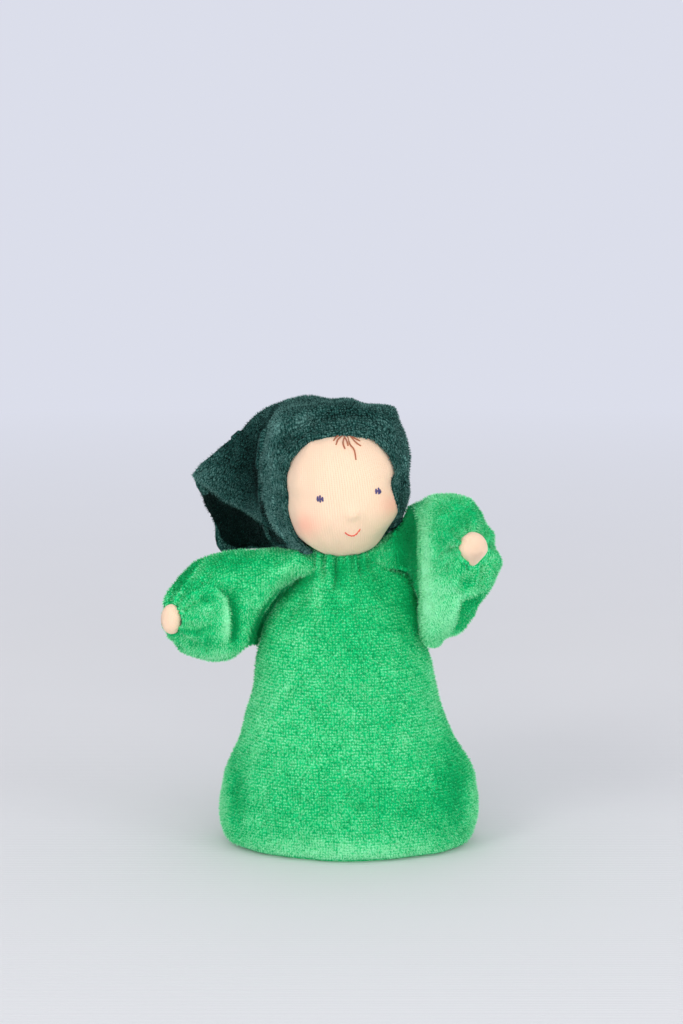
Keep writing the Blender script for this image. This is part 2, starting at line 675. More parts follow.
height_share = (heights / gown_height)[:, None]
from_front = np.degrees(angles + math.pi / 2)
from_front = (from_front + 180) % 360 - 180
normals = grid_normals(gown, True)
relief = np.zeros((gown_rows, gown_columns))
ridge_share = 0.35
for angle, depth, length, width in gathers:
    away = (from_front - angle + 180) % 360 - 180
    down = gown_height - heights[:, None]
    fade = bell(down, length * mm)
    opened = width * (0.8 + 0.9 * down / (length * mm))
    relief -= depth * mm * fade * bell(away, opened)
    beside = bell(away - 2 * opened, opened) + bell(away + 2 * opened, opened)
    relief += ridge_share * depth * mm * fade * beside
broad_swell, broad_size, small_swell, small_size = 0.45 * mm, 26 * mm, 0.12 * mm, 8 * mm
relief += broad_swell * lumps(gown, broad_size, seed=3) * ease(height_share, 0.0, 0.2)
relief += small_swell * lumps(gown, small_size, seed=4)
for pixels, width, depth in gown_creases:
    relief += mm * crease(gown, normals, pixels, width, depth)
gown = nudged(gown, gown_moves)
# The side seams pull the cloth in, unevenly, with a low lip beside them.
side_seam = np.minimum(abs(from_front - 90), abs(from_front + 90))
pucker_share, pucker_length, pucker_drift = 0.35, 1.9 * mm, 3.1 * mm
seam_pucker = 1 + pucker_share * np.sin(heights / pucker_length + np.sin(heights / pucker_drift))[:, None]
seam_away = np.radians(side_seam) * radii
seam_depth, seam_lip = 0.75 * mm, 0.2 * mm
relief -= seam_depth * bell(seam_away, 0.9 * mm) * seam_pucker * ease(1 - height_share, 0.02, 0.2)
relief += seam_lip * bell(seam_away - 1.8 * mm, 1.1 * mm) * ease(1 - height_share, 0.05, 0.3)
gown += normals * (relief - pile_depth)[..., None]
gown[..., 2] = np.maximum(gown[..., 2], 0)

# The collar lies lower in front.
front_drop = 1.2 * mm
gown[..., 2] -= front_drop * ease(height_share, 0.8, 1) * bell(from_front + 4, 60)

# The collar closes in under the chin on the head's round and turns down inside.
collar_ball = 17.95 * mm
collar_mouth_share, collar_lift = 0.62, 3 * mm
collar_rows, collar_steps = 6, 9
collar_middle = np.array(collar_axis)[:2]
rolled = []
top = gown[-collar_rows - 1]
top_radius = np.linalg.norm(top[:, :2] - collar_middle, axis=1)
for share in np.linspace(1, collar_mouth_share, collar_steps)[1:]:
    ring = top.copy()
    radius = top_radius * share
    ring[:, :2] = collar_middle + (top[:, :2] - collar_middle) * share
    under_head = head_centre.z - np.sqrt(np.maximum(collar_ball**2 - radius**2, 0))
    ring[:, 2] = np.minimum(under_head, top[:, 2] + collar_lift)
    rolled.append(ring)
down_inside = [rolled[-1] - np.array((0, 0, depth * mm)) for depth in (1.5, 3.5)]
gown = np.concatenate([gown[:-collar_rows], rolled, down_inside])
# The lower edge turns under: each ring's share of the edge's size, and how far it lies above the floor
turned_under = ((0.8, 0.5), (0.9, 0.15))
under = [gown[0] * np.array((share, share, 1)) + np.array((0, 0, lift * mm)) for share, lift in turned_under]
gown = np.concatenate([under, gown])

wool_gap = 0.5 * mm
wool_rows = slice(6, -14)
filling = stuffing("gown_stuffing", gown[wool_rows], velour_thickness + wool_gap, loose_wool)
fitted(filling, "gown", "body_wool")

half = gown_columns // 2
top_gather, gathered_from = 0.6, 0.72
shown = slice(len(under) + 2, -4)
for name, start in (("gown_front", 0), ("gown_back", half)):
    panel = gown[:, np.arange(start, start + half + 1) % gown_columns]
    gather_ratio = 1 + top_gather * ease(panel[:, [0], 2] / gown_height, gathered_from, 1)
    panel_uv = cloth_uv(panel, half // 2, gather_ratio)
    made, fibres = velour_piece(
        name, panel, panel_uv, velour_thickness, green_velour, gown_nap, gown_shades, shown
    )
    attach(fibres, "gown")
    fitted(made, "gown", name)

# The gown's base: a flat oval of the same velour that closes its lower edge. It is sewn in a little inside
# the panels, and the filling keeps it flat, so that the doll stands.
base_rows = 24
base_centre_share = 0.02
base_inset_share = 0.97
base_ring = gown[len(under)] * np.array((base_inset_share, base_inset_share, 1))
base_lift = 0.3 * mm
dome = 0.5 * mm
base_swell, base_swell_size = 0.15 * mm, 9 * mm
shares = np.linspace(1, base_centre_share, base_rows)[:, None, None]
oval = base_ring * shares
base_lumps = base_swell * lumps(oval, base_swell_size, seed=8)
oval[..., 2] = base_lift + dome * (1 - shares[..., 0] ** 2) + base_lumps
oval = np.maximum(oval, np.array((-1, -1, base_lift)))
oval_uv = np.concatenate([oval[..., :2], oval[:, :1, :2]], 1)
base = cloth("gown_base_cloth", oval, velour_thickness, oval_uv, looped=True)
base.data.materials.append(green_velour)
fitted(base, "gown", "gown_base")


# The gown's threads: cotton that runs inside the side seams and the base seam, and one that is drawn up
# inside the collar to gather it. They keep their CAD form.
def cotton(name, colour, shade):
    """Twisted cotton thread: fine light and dark plies."""
    finish = Finish(name, Roughness=0.7, **{"Sheen Weight": 0.3, "Sheen Roughness": 0.4})
    plies = finish.noise(0.25 * mm, 2.0)
    finish.colour(finish.mixed(((plies - 0.5) * 2.2 + 0.5).held(), shade, colour))
    finish.bump(plies, 0.1 * mm)
    return finish.material


white_cotton = cotton("white cotton", (0.8, 0.79, 0.74, 1), (0.6, 0.58, 0.52, 1))
green_cotton = cotton("green cotton", (0.03, 0.42, 0.14, 1), (0.01, 0.25, 0.07, 1))


def finished(material, *nodes):
    """Gives CAD nodes that stay in view, or inside, their finish."""
    for node in nodes:
        data = frame["nodes"][node].data
        data.materials.clear()
        data.materials.append(material)


finished(green_cotton, "left_side_seam", "right_side_seam", "base_seam")
finished(white_cotton, "collar_thread")

# The neck: a short roll of wool that carries the head in the gown's collar. A thread tied tight round it
# keeps it firm. Both keep their CAD form.
finished(loose_wool, "neck_roll")
finished(white_cotton, "neck_thread")

# The head: a firm wool ball in a gauze tube, tied round at the eyes and covered with fine jersey,
# whose knit columns run up the face. Directions on it are a turn from the nose and a lift, in degrees.
head_radius = 17 * mm
jersey_thickness = 0.6 * mm
hood_press, eye_line_depth, nose_height = 1.1 * mm, 1.0 * mm, 1.0 * mm
cheek_swell, chin_swell, under_swell, jaw_lean = 0.7 * mm, 0.3 * mm, 0.8 * mm, 0.7 * mm
skin_swell, skin_swell_size = 0.06 * mm, 6 * mm
eye_line_angle, nose_turn, nose_angle = 3, 1, -14
face_turn, face_tilt = math.radians(6.5), math.radians(-6.5)
head_rows, head_columns = 120, 200
neck_opening_angle = -74
crown_narrowing = 0.6
# The rouge: its two pixels in the photograph and its reach in pixels
rouge_places = ((305, 526), (394, 505))
rouge_spread = 13
head_turned = Matrix.Translation(head_centre) @ Matrix.Rotation(face_turn, 4, "Z")
head_turned = head_turned @ Matrix.Rotation(face_tilt, 4, "Y")


def moved(points, matrix):
    """Points moved by a matrix."""
    matrix = np.array(matrix)
    return np.asarray(points) @ matrix[:3, :3].T + matrix[:3, 3]


def head_surface(turn, lift):
    """Distance of the skin from the head's centre. Each bell has its place and its spread in degrees."""
    away = abs(turn)
    covered = np.maximum(ease(away, 46, 74), ease(lift, 50, 72))
    tied = 0.12 + 0.88 * ease(away, 22, 60) * (1 - 0.4 * covered)
    return (
        head_radius
        - hood_press * covered
        - eye_line_depth * tied * bell(lift - eye_line_angle, 10)
        + cheek_swell * bell(away - 38, 17) * bell(lift + 22, 15)
        + chin_swell * bell(turn, 24) * bell(lift + 44, 15)
        + under_swell * ease(-lift, 40, 70)
        + jaw_lean * (1.9 * bell(turn + 70, 34) - bell(turn - 48, 26)) * bell(lift + 42, 20)
        + nose_height * bell(turn - nose_turn, 6.5) * bell(lift - nose_angle, 5.5)
    )


def direction(turn, lift):
    """The way out from the head's centre at a turn and a lift."""
    turn, lift = np.radians(turn), np.radians(lift)
    return np.stack([np.sin(turn) * np.cos(lift), -np.cos(turn) * np.cos(lift), np.sin(lift)], -1)


def jersey(name, colour, shade, blush=(0.95, 0.5, 0.36, 1)):
    """Fine doll jersey: knit columns of small stitches, with rouge where the piece has it."""
    soft = {"Sheen Weight": 0.2, "Sheen Roughness": 0.5, "Subsurface Weight": 0.06}
    finish = Finish(name, Roughness=0.85, **soft)
    finish.surface.inputs["Subsurface Radius"].default_value = (1.2 * mm, 0.6 * mm, 0.3 * mm)
    across, along = finish.cloth_place()
    rib_width, stitch_height = 0.66 * mm, 0.5 * mm
    wander = finish.noise(6 * mm, 1.0) - 0.5
    ribs = (across * (2 * math.pi / rib_width) + wander * 3).wave()
    stitches = (along * (2 * math.pi / stitch_height) + wander * 4).wave()
    loose = finish.noise(0.5 * mm, 2.0)
    patchy = finish.noise(7 * mm, 2.0)
    depth = (ribs * 0.18 + stitches * 0.1 + (loose - 0.5) * 0.35 + (patchy - 0.5) * 0.25 + 0.42).held()
    rouge = finish.number("ShaderNodeAttribute", {"attribute_name": "rouge"}, {}, 2)
    skin = finish.mixed(depth, shade, colour)
    finish.colour(finish.mixed((rouge * (patchy * 0.5 + 0.75)).held(), skin, blush))
    finish.bump(ribs * 0.8 + stitches * 0.3 + loose * 0.5, 0.07 * mm)
    return finish.material


doll_jersey = jersey("doll jersey", (0.935, 0.69, 0.505, 1), (0.86, 0.6, 0.415, 1))

turns = np.arange(head_columns) * 360 / head_columns - 180
lifts, turns = np.meshgrid(np.linspace(neck_opening_angle, 90, head_rows), turns, indexing="ij")
head_local = direction(turns, lifts) * head_surface(turns, lifts)[..., None]
skin_lumps = skin_swell * lumps(head_local, skin_swell_size, seed=21)
head_local += direction(turns, lifts) * skin_lumps[..., None]
head = moved(head_local, head_turned)
closing = np.concatenate([turns, turns[:, :1] + 360], 1)
row_lifts = np.radians(lifts[:, [0]])
head_across = head_radius * np.radians(closing) * np.cos(row_lifts) ** crown_narrowing
head_uv = np.stack([head_across, head_radius * np.broadcast_to(row_lifts, closing.shape)], -1)
head_skin = cloth("head_jersey", head, jersey_thickness, head_uv, looped=True)
from_rouge = [np.linalg.norm(in_photo(head) - np.array(place), axis=-1) for place in rouge_places]
rouge = sum(bell(far, rouge_spread) for far in from_rouge)
painted(head_skin, "rouge", rouge * facing(grid_normals(head, True)))
head_skin.data.materials.append(doll_jersey)
fitted(head_skin, "head", "head_skin")

# Under the jersey: a cotton gauze tube drawn tight over the knotted wool ball, with a thread tied round it at
# the eyes, and a small bead of wool for the nose. The thread and the bead keep their CAD form.
gauze_gap, gauze_thickness = 0.25 * mm, 0.25 * mm
gauze_mesh, gauze_height, ball_gap = 0.7 * mm, 0.034, 0.35 * mm
gauze_local = head_local - direction(turns, lifts) * (jersey_thickness + gauze_gap)
gauze = moved(gauze_local, head_turned)
gauze_finish = Finish("cotton gauze", Roughness=0.9)
weft, warp = (axis * (2 * math.pi / gauze_mesh) for axis in gauze_finish.cloth_place())
threads_apart = weft.wave() * 0.5 + warp.wave() * 0.5
gauze_finish.colour(gauze_finish.mixed(threads_apart.held(), (0.6, 0.57, 0.5, 1), (0.85, 0.83, 0.78, 1)))
gauze_finish.bump(threads_apart, 0.15 * mm)
head_gauze = cloth("head_gauze_tube", gauze, gauze_thickness, head_uv, looped=True)
head_gauze.data.materials.append(gauze_finish.material)
ball = stuffing("head_stuffing", gauze, gauze_gap + gauze_thickness + ball_gap, loose_wool)
fitted(head_gauze, "head", "head_gauze")
fitted(ball, "head", "head_wool")
finished(white_cotton, "eye_line_thread")
finished(loose_wool, "nose_bead")

# The face and forelock, sewn with embroidery thread: small crossed stitches for the eyes, one row of
# backstitch for the smile, and straight stitches for the hair. Each stitch dips into the skin at its ends.
eye_thread, smile_thread, hair_thread = 0.5 * mm, 0.36 * mm, 0.42 * mm
# How far the middle of a stitch stands off the skin, and how far its ends lie below it
eye_proud, eye_sunk, each_over = 0.2 * mm, -0.1 * mm, 0.06 * mm
smile_proud, smile_sunk, hair_proud, hair_sunk = 0.14 * mm, -0.12 * mm, 0.16 * mm, -0.05 * mm
# Each eye's middle in the photograph, and its stitches from end to end about that
eye_pixels = {"right_eye": (320, 499), "left_eye": (377.7, 491)}
eye_stitches = {
    "right_eye": (
        ((-2.3, -2.4), (-2.0, 2.2)), ((0, -3.3), (0.3, 3.2)),
        ((2.4, -1.5), (2.7, 2.0)), ((-2.9, 0.7), (3.1, -0.3)),
    ),
    "left_eye": (
        ((-1.8, -1.9), (-1.5, 2.6)), ((0.7, -3.0), (1.1, 3.0)),
        ((-2.4, 0.4), (2.6, -0.9)), ((1.9, -0.9), (2.0, 2.2)),
    ),
}
# The lines of the smile and of the hair in the photograph
smile_pixels = (
    (345, 532.5), (347.4, 534.4), (350, 535.6), (352.6, 535.9), (355.2, 535), (357.8, 532.6), (360.2, 529),
)
hair_pixels = (
    ((343, 435), (338, 440), (336, 445)),
    ((341, 434), (336.5, 437.5), (333.5, 441)),
    ((345, 436), (343, 443), (345, 449)),
    ((347, 435), (350, 445), (354, 450), (356, 460)),
    ((350, 436), (356, 443), (361, 446)),
    ((348, 435), (357, 440), (360, 441)),
    ((344, 436), (347, 442), (348, 446)),
)


def surface_tree(piece):
    """A made piece's right side, to be found by rays."""
    mesh = piece.data
    return BVHTree.FromPolygons([v.co for v in mesh.vertices], [p.vertices[:] for p in mesh.polygons])


def seen_at(pixel, tree, proud):
    """The point that a pixel of the photograph shows on a piece, raised a little above it."""
    right = Vector((1, 0, 0))
    up = Vector((0, math.sin(camera_rise), math.cos(camera_rise)))
    scale = pixels_per_metre * camera_distance
    across, rise = (pixel[0] - photo_width / 2) / scale, (photo_height / 2 - pixel[1]) / scale
    ray = (right * across + up * rise - towards_camera).normalized()
    point, normal, _, _ = tree.ray_cast(camera_place, ray)
    return point + normal * proud


def thread_tree():
    """Geometry Nodes that turn lines of points into round thread of a given width."""
    inputs = {"Lines": "Geometry", "Width": "Float", "Steps": "Int", "Finish": "Material"}
    tree, node = geometry_tree("thread along lines", inputs, "Thread")
    given = node("NodeGroupInput").outputs
    half_width = node("ShaderNodeMath", {"operation": "MULTIPLY"}, s0=given["Width"], s1=0.5).outputs[0]
    line = node("GeometryNodeMeshToCurve", Mesh=given["Lines"])
    smooth = node("GeometryNodeCurveSplineType", {"spline_type": "CATMULL_ROM"}, Curve=line.outputs[0])
    finer = node("GeometryNodeResampleCurve", Curve=smooth.outputs[0], Count=given["Steps"])
    ring = node("GeometryNodeCurvePrimitiveCircle", Resolution=8, Radius=half_width).outputs[0]
    tube = node("GeometryNodeCurveToMesh", Curve=finer.outputs[0], Profile_Curve=ring, Fill_Caps=True)
    shaded = node("GeometryNodeSetShadeSmooth", Geometry=tube.outputs[0])
    real = node("GeometryNodeRealizeInstances", Geometry=shaded.outputs[0])
    dyed = node("GeometryNodeSetMaterial", Geometry=real.outputs[0], Material=given["Finish"])
    node("NodeGroupOutput", Thread=dyed.outputs[0])
    return tree


thread_nodes = thread_tree()


def sewn(name, lines, width, finish, steps=12):
    """A piece of thread along lines of points."""
    points = [point for line in lines for point in line]
    edges, start = [], 0
    for line in lines:
        edges += [(start + k, start + k + 1) for k in range(len(line) - 1)]
        start += len(line)
    mesh = bpy.data.meshes.new(name)
    mesh.from_pydata([tuple(point) for point in points], edges, [])
    made = bpy.data.objects.new(name, mesh)
    scene.collection.objects.link(made)
    return grown_by(made, thread_nodes, {"Width": width, "Steps": steps, "Finish": finish})


def dipped(line, proud, sunk):
    """A stitch's line on the skin, with its two ends below it."""
    heights = [sunk] + [proud] * (len(line) - 2) + [sunk]
    return [seen_at(pixel, head_tree, height) for pixel, height in zip(line, heights)]


def with_middle(start, end):
    """A straight stitch from end to end, with the point between them."""
    return (start, tuple((a + b) / 2 for a, b in zip(start, end)), end)


head_tree = surface_tree(head_skin)
eye_cotton = cotton("eye cotton", (0.11, 0.08, 0.24, 1), (0.04, 0.03, 0.12, 1))
smile_cotton = cotton("smile cotton", (0.86, 0.12, 0.07, 1), (0.6, 0.05, 0.03, 1))
hair_cotton = cotton("hair cotton", (0.5, 0.17, 0.07, 1), (0.3, 0.08, 0.03, 1))
for node, (x, y) in eye_pixels.items():
    stitches = [with_middle((x + a, y + b), (x + c, y + d)) for (a, b), (c, d) in eye_stitches[node]]
    lines = [dipped(stitch, eye_proud + each_over * k, eye_sunk) for k, stitch in enumerate(stitches)]
    eye = sewn(node + "_stitches", lines, eye_thread, eye_cotton)
    fitted(eye, "head", node)
stitches = [with_middle(start, end) for start, end in zip(smile_pixels[:-1], smile_pixels[1:])]
lines = [dipped(stitch, smile_proud, smile_sunk) for stitch in stitches]
smile = sewn("smile_stitches", lines, smile_thread, smile_cotton)
fitted(smile, "head", "mouth")
lines = [dipped(line, hair_proud, hair_sunk) for line in hair_pixels]
hair = sewn("forelock_stitches", lines, hair_thread, hair_cotton)
fitted(hair, "head", "forelock")

# The hood: one piece of dark green velour laid over the head, its front edge rolled over a gathering
# thread round the face, its back edges sewn up into a corner that hangs to the doll's right.
hood_width, hood_height, hood_length = 40 * mm, 41.4 * mm, 46 * mm
hood_thickness = 0.7 * mm
hood_clear = hood_thickness + 0.2 * mm
hood_rows, hood_columns = 150, 170
hem_roll = 1.1 * mm
cheek_lift = math.radians(35)
hem_share, hem_tilt = 1.02, math.radians(9)
# Each ring's place as shares of length and height, its turn, its reach right, left, above and below as
# shares of width and height, the corner powers of its halves, and how far its top leans along the hood
hood_shares = (
    (-0.03, -0.215, 0, -7, 0.39, 0.385, 0.42, 0.62, 2.2, 2.6, 0.19),
    (-0.02, -0.17, 0, -6, 0.48, 0.435, 0.5, 0.62, 2.8, 2.5, 0.17),
    (-0.01, -0.06, 0, -3, 0.52, 0.45, 0.54, 0.58, 3.4, 2.3, 0.12),
    (-0.01, 0.08, 0, 6, 0.51, 0.445, 0.54, 0.52, 3.4, 2.1, 0.05),
    (-0.08, 0.22, -0.02, 20, 0.49, 0.39, 0.575, 0.43, 2.8, 2, 0),
    (-0.22, 0.36, -0.1, 38, 0.38, 0.26, 0.65, 0.4, 2, 1.8, 0.02),
    (-0.4, 0.47, -0.18, 54, 0.26, 0.14, 0.61, 0.34, 1.5, 1.6, 0.05),
    (-0.57, 0.53, -0.13, 62, 0.16, 0.09, 0.405, 0.37, 1.4, 1.5, 0.15),
    (-0.72, 0.555, -0.08, 66, 0.085, 0.06, 0.19, 0.43, 1.4, 1.5, 0.3),
    (-0.8, 0.565, -0.02, 68, 0.045, 0.035, 0.04, 0.48, 1.5, 1.5, 0.36),
)
# Pulls across the photograph, as on the gown
hood_moves = [
    ((202, 472), (191, 474), 20), ((211, 503), (200, 503), 16), ((222, 540), (210, 543), 18),
    ((262, 412), (261, 407), 26), ((391, 409), (397, 404), 8), ((304, 391), (304, 395), 20),
    ((330, 394), (328, 399), 8), ((350, 398), (350, 397), 8), ((366, 400), (366, 404), 7),
    ((390, 402), (393, 403), 8), ((409, 486), (406, 486), 14),
]
# Where the hood's edge is seen round the face, from the chin at the photograph's left, over the top, to the
# cheek at its right
face_middle = (342, 500)
opening = [
    (312, 564), (301, 557), (291, 547), (284, 534), (281.5, 519), (286, 497), (286, 480), (288, 468),
    (291, 458), (300, 449), (316, 441), (332, 438), (352, 436), (362, 435.4), (372, 438), (381, 442),
    (389, 450), (394, 460), (395, 468), (393.6, 476), (392, 484), (393, 494), (396, 504), (397, 512),
    (397, 530), (385, 556),
]
# The ridge that runs along the tail, and the edge of the brim in front of it
tail_ridge = [(188, 474), (205, 486), (220, 498), (246, 512), (270, 528), (292, 545)]
brim_edge = [
    (300, 392), (284, 403), (272, 419), (264, 440), (260, 460), (259.5, 482), (262, 500), (269, 520),
    (279, 536), (291, 548), (304, 558), (316, 566),
]
tail_push, tail_lean, brim_depth = 7 * mm, 1.5 * mm, 4 * mm
# Creases and brushed places as on the gown, and the edges of the tail's ridge and of the brim
hood_creases = [
    ([(309, 412), (313, 426), (313, 438)], 3, 0.9),
    ([(344, 400), (345, 410), (350, 420)], 4, 0.6),
    ([(281, 428), (286, 438), (284, 450)], 4, 0.7),
    ([(276, 420), (277, 432), (272, 446)], 4, -0.5),
    ([(300, 412), (304, 422), (304, 432)], 4, -0.5),
    ([(373, 404), (376, 418), (384, 430)], 4, 0.5),
    ([(398, 420), (402, 440), (402, 462)], 4, 0.5),
    ([(272, 500), (276, 520), (288, 540)], 4, 0.5),
    ([(235, 446), (224, 466), (214, 488)], 9, 0.4),
]
hood_nap = [
    (276, 424, 9, 8, 0.22), (240, 460, 30, 34, -0.2), (240, 425, 30, 20, -0.06), (272, 480, 8, 50, 0.1),
    (204, 472, 18, 12, 0.15), (252, 478, 12, 34, -0.2), (303, 418, 9, 6, 0.22), (268, 455, 4, 30, 0.15),
    (345, 412, 40, 10, -0.12), (372, 404, 8, 3, 0.15), (402, 500, 5, 22, -0.2), (300, 440, 10, 5, -0.15),
]
hood_shades = [(tail_ridge, 0.08, 5, -0.75, 90), (brim_edge, 0.14, 8, -0.6, 5)]


def rows_at(rows, places):
    """Reads a table of rows on a smooth curve, from 0 at its first row to 1 at its last."""
    rows = np.array(rows, float)
    spots = np.clip(places, 0, 1) * (len(rows) - 1)
    first = np.minimum(spots.astype(int), len(rows) - 2)
    t = (spots - first)[:, None]
    start, end, before, after = (rows[np.clip(first + step, 0, len(rows) - 1)] for step in (0, 1, -1, 2))
    curve = (2 * t**3 - 3 * t**2 + 1) * start + (3 * t**2 - 2 * t**3) * end
    return curve + (t**3 - 2 * t**2 + t) * (end - before) / 2 + (t**3 - t**2) * (after - start) / 2


def rounded(angle, power):
    """A point of a rounded outline: an ellipse at power 2, squarer above it, more pointed below it."""

    def bend(value):
        return np.sign(value) * abs(value) ** (2 / power)

    return bend(np.cos(angle)), bend(np.sin(angle))


def hood_ring(row, spots):
    """One ring of the hood about the head's centre, at angles from the doll's left over the top."""
    x, y, z, turn, right, left, above, below, power_above, power_below, lean = row
    turn = math.radians(turn)
    side = np.array((math.cos(turn), math.sin(turn), 0))
    up = np.array((-math.sin(turn) * lean, math.cos(turn) * lean, 1))
    power = np.where(np.sin(spots) > 0, power_above, power_below)
    across, rise = rounded(spots, power)
    across = across * np.where(across > 0, left, right) * hood_width
    rise = rise * np.where(rise > 0, above, below) * hood_height
    middle = np.array((x * hood_length, y * hood_length, z * hood_height))
    return middle + across[:, None] * side + rise[:, None] * up


corner = Vector((hood_shares[-1][0], hood_shares[-1][1], 0)).normalized()
hem_normal = np.array(Matrix.Rotation(-hem_tilt, 3, corner.cross(Vector((0, 0, 1)))) @ Vector((0, 0, 1)))
hem_height = -head_radius * hem_share


def hood_span(row):
    """One ring from its lower edge on the doll's left, over the top, to its lower edge on the right."""
    spots = np.linspace(-math.pi / 2, 1.5 * math.pi, 721)
    ring = hood_ring(row, spots)
    clear = (ring - np.array((0, 0, hem_height))) @ hem_normal > 0
    kept = ring[clear]
    run = np.concatenate([[0], np.cumsum(np.linalg.norm(np.diff(kept, axis=0), axis=1))])
    even = np.linspace(0, run[-1], hood_columns)
    return np.stack([np.interp(even, run, kept[:, axis]) for axis in range(3)], -1)


def off_the_skin(points, height, share, hugging=0):
    """Points brought to a height over the head's skin by a share of the way, or only held off it at a share
    of 0. Above the head's middle they move straight out. Below it they move level, as cloth that hangs from
    the cheeks, except where the cloth goes on hugging the head."""
    local = moved(points, head_turned.inverted())
    level = np.hypot(local[..., 0], local[..., 1])
    turn = np.degrees(np.arctan2(local[..., 0], -local[..., 1]))
    least = np.minimum(height, hood_clear)

    def scale(skin, far):
        wanted = np.maximum(far + (skin + height - far) * share, skin + least)
        return (wanted / np.maximum(far, mm))[..., None]

    skin_there = head_surface(turn, np.degrees(np.arctan2(local[..., 2], level)))
    straight = local * scale(skin_there, np.hypot(level, local[..., 2]))
    lift = np.degrees(np.arcsin(np.clip(local[..., 2] / head_radius, -0.999, 0)))
    cheek = head_radius * math.cos(cheek_lift) - 1.5 * mm * ease(-lift, 35, 65)
    hanging = local.copy()
    hanging[..., :2] *= scale(np.maximum(head_surface(turn, lift) * np.cos(np.radians(lift)), cheek), level)
    share_hanging = (np.where(local[..., 2] < 0, 1, 0) * (1 - np.asarray(hugging)))[..., None]
    return moved(straight + (hanging - straight) * share_hanging, head_turned)


def eased(points, times):
    """A grid of points with its small unevenness taken out."""
    for _ in range(times):
        points = np.concatenate([points[:1], (points[:-2] + 2 * points[1:-1] + points[2:]) / 4, points[-1:]])
        inner = (points[:, :-2] + 2 * points[:, 1:-1] + points[:, 2:]) / 4
        points = np.concatenate([points[:, :1], inner, points[:, -1:]], 1)
    return points


hood = np.stack([hood_span(row) for row in rows_at(hood_shares, np.linspace(0, 1, hood_rows))])
hood = eased(nudged(moved(hood, Matrix.Translation(head_centre)), hood_moves), 4)
edge_run = arc_lengths(hood, 0)
below_eyes = head_centre.z - hood[..., 2]
to_left = hood[..., 0] - head_centre.x
near_face = 1 - ease(edge_run, 8 * mm, 26 * mm)
# Beside the doll's left cheek the edge slants back.
cheek_slant = 13 * mm
slant = cheek_slant * ease(below_eyes, -2 * mm, 12 * mm) * ease(to_left, 4 * mm, 11 * mm)
hood[..., 1] += slant * near_face
# The two ends beside the chin are short. The doll's left one ends behind the cheek.
left_side = ease(to_left, 2 * mm, 9 * mm)
short_left = 0.6 * left_side * np.maximum(below_eyes - 4 * mm, 0)
short_right = 0.75 * (1 - left_side) * np.maximum(below_eyes - 12 * mm, 0)
hood[..., 2] += (short_left + short_right) * (1 - ease(edge_run, 3 * mm, 11 * mm))
# It lies close along the doll's left cheek, and stands off elsewhere as a soft roll.
edge_stand, roll_stand, tight_stand = 2.4 * mm, 1.6 * mm, 1.1 * mm
tight = ease(below_eyes, -5 * mm, 4 * mm) * ease(to_left, 5 * mm, 12 * mm)
tight = tight * (1 - ease(edge_run, 16 * mm, 28 * mm))
edge_height = (edge_stand + roll_stand * ease(edge_run, 0, 3 * mm)) * (1 - tight) + tight_stand * tight
edge_pull = np.maximum(1 - ease(edge_run, 2 * mm, 7 * mm), 0.9 * tight)
hood = off_the_skin(hood, edge_height, edge_pull, tight)

# The front edge follows its outline round the face, by steps of a few pixels.
largest_step = 9
outline = np.array(opening) - face_middle
outline_turns = np.unwrap(np.arctan2(outline[:, 1], outline[:, 0]))
outline_reach = np.linalg.norm(outline, axis=1)
for _ in range(2):
    away = in_photo(hood[0]) - face_middle
    turns_seen = np.arctan2(away[:, 1], away[:, 0])
    turns_seen = np.where(turns_seen < outline_turns.min(), turns_seen + 2 * math.pi, turns_seen)
    wanted = np.interp(turns_seen, outline_turns, outline_reach) + hem_roll * pixels_per_metre * 2
    reach_now = np.linalg.norm(away, axis=1)
    looking = ease(hood[0] @ np.array(towards_camera) - head_centre.dot(towards_camera), 0, 6 * mm)
    step = np.clip(wanted - reach_now, -largest_step, largest_step) * looking
    step = away / reach_now[:, None] * step[:, None]
    hood = slid(hood, step[None] * (1 - ease(edge_run, 0, 9 * mm))[..., None])
    hood = off_the_skin(hood, edge_height, edge_pull, tight)

# The brim stands in front of the tail, and below its ridge the tail falls back.
behind_brim = ease(edge_run, 3 * mm, 6 * mm) * ease(-to_left, 0, 12 * mm)
below_ridge, _ = beside_line(hood, tail_ridge)
beside_brim, brim_share = beside_line(hood, brim_edge)
push = tail_push * (0.6 * ease(below_ridge, -1, 4) + 0.4 * ease(below_ridge, 0, 40))
push = (push - tail_lean * bell(below_ridge, 6)) * ease(beside_brim, -1, 6)
brim_start = ease(brim_share, 0.02, 0.3) * ease(1 - brim_share, 0, 0.15)
push += brim_depth * ease(beside_brim, -1, 1.5) * bell(np.maximum(beside_brim, 0), 26) * brim_start
hood -= (push * behind_brim)[..., None] * np.array(towards_camera)
hood = eased(hood, 3)

# The gathering thread draws the edge into small puckers.
pucker_count, pucker_height = 17, 0.25 * mm
hood_normals = -grid_normals(hood, False)
spot_run = np.linspace(0, 1, hood_columns)[None]
relief = (0.15 + 0.15 * near_face) * mm * lumps(hood, 11 * mm, seed=31)
relief = relief + 0.1 * mm * lumps(hood, 5 * mm, seed=32)
puckers = np.sin(spot_run * 2 * math.pi * pucker_count + 1.5 * np.sin(spot_run * 9))
relief += pucker_height * puckers * bell(edge_run - 1.5 * mm, 3 * mm)
for pixels, width, depth in hood_creases:
    relief += mm * crease(hood, hood_normals, pixels, width, depth) * np.sqrt(facing(hood_normals))
hood = hood + hood_normals * (relief - pile_depth)[..., None]
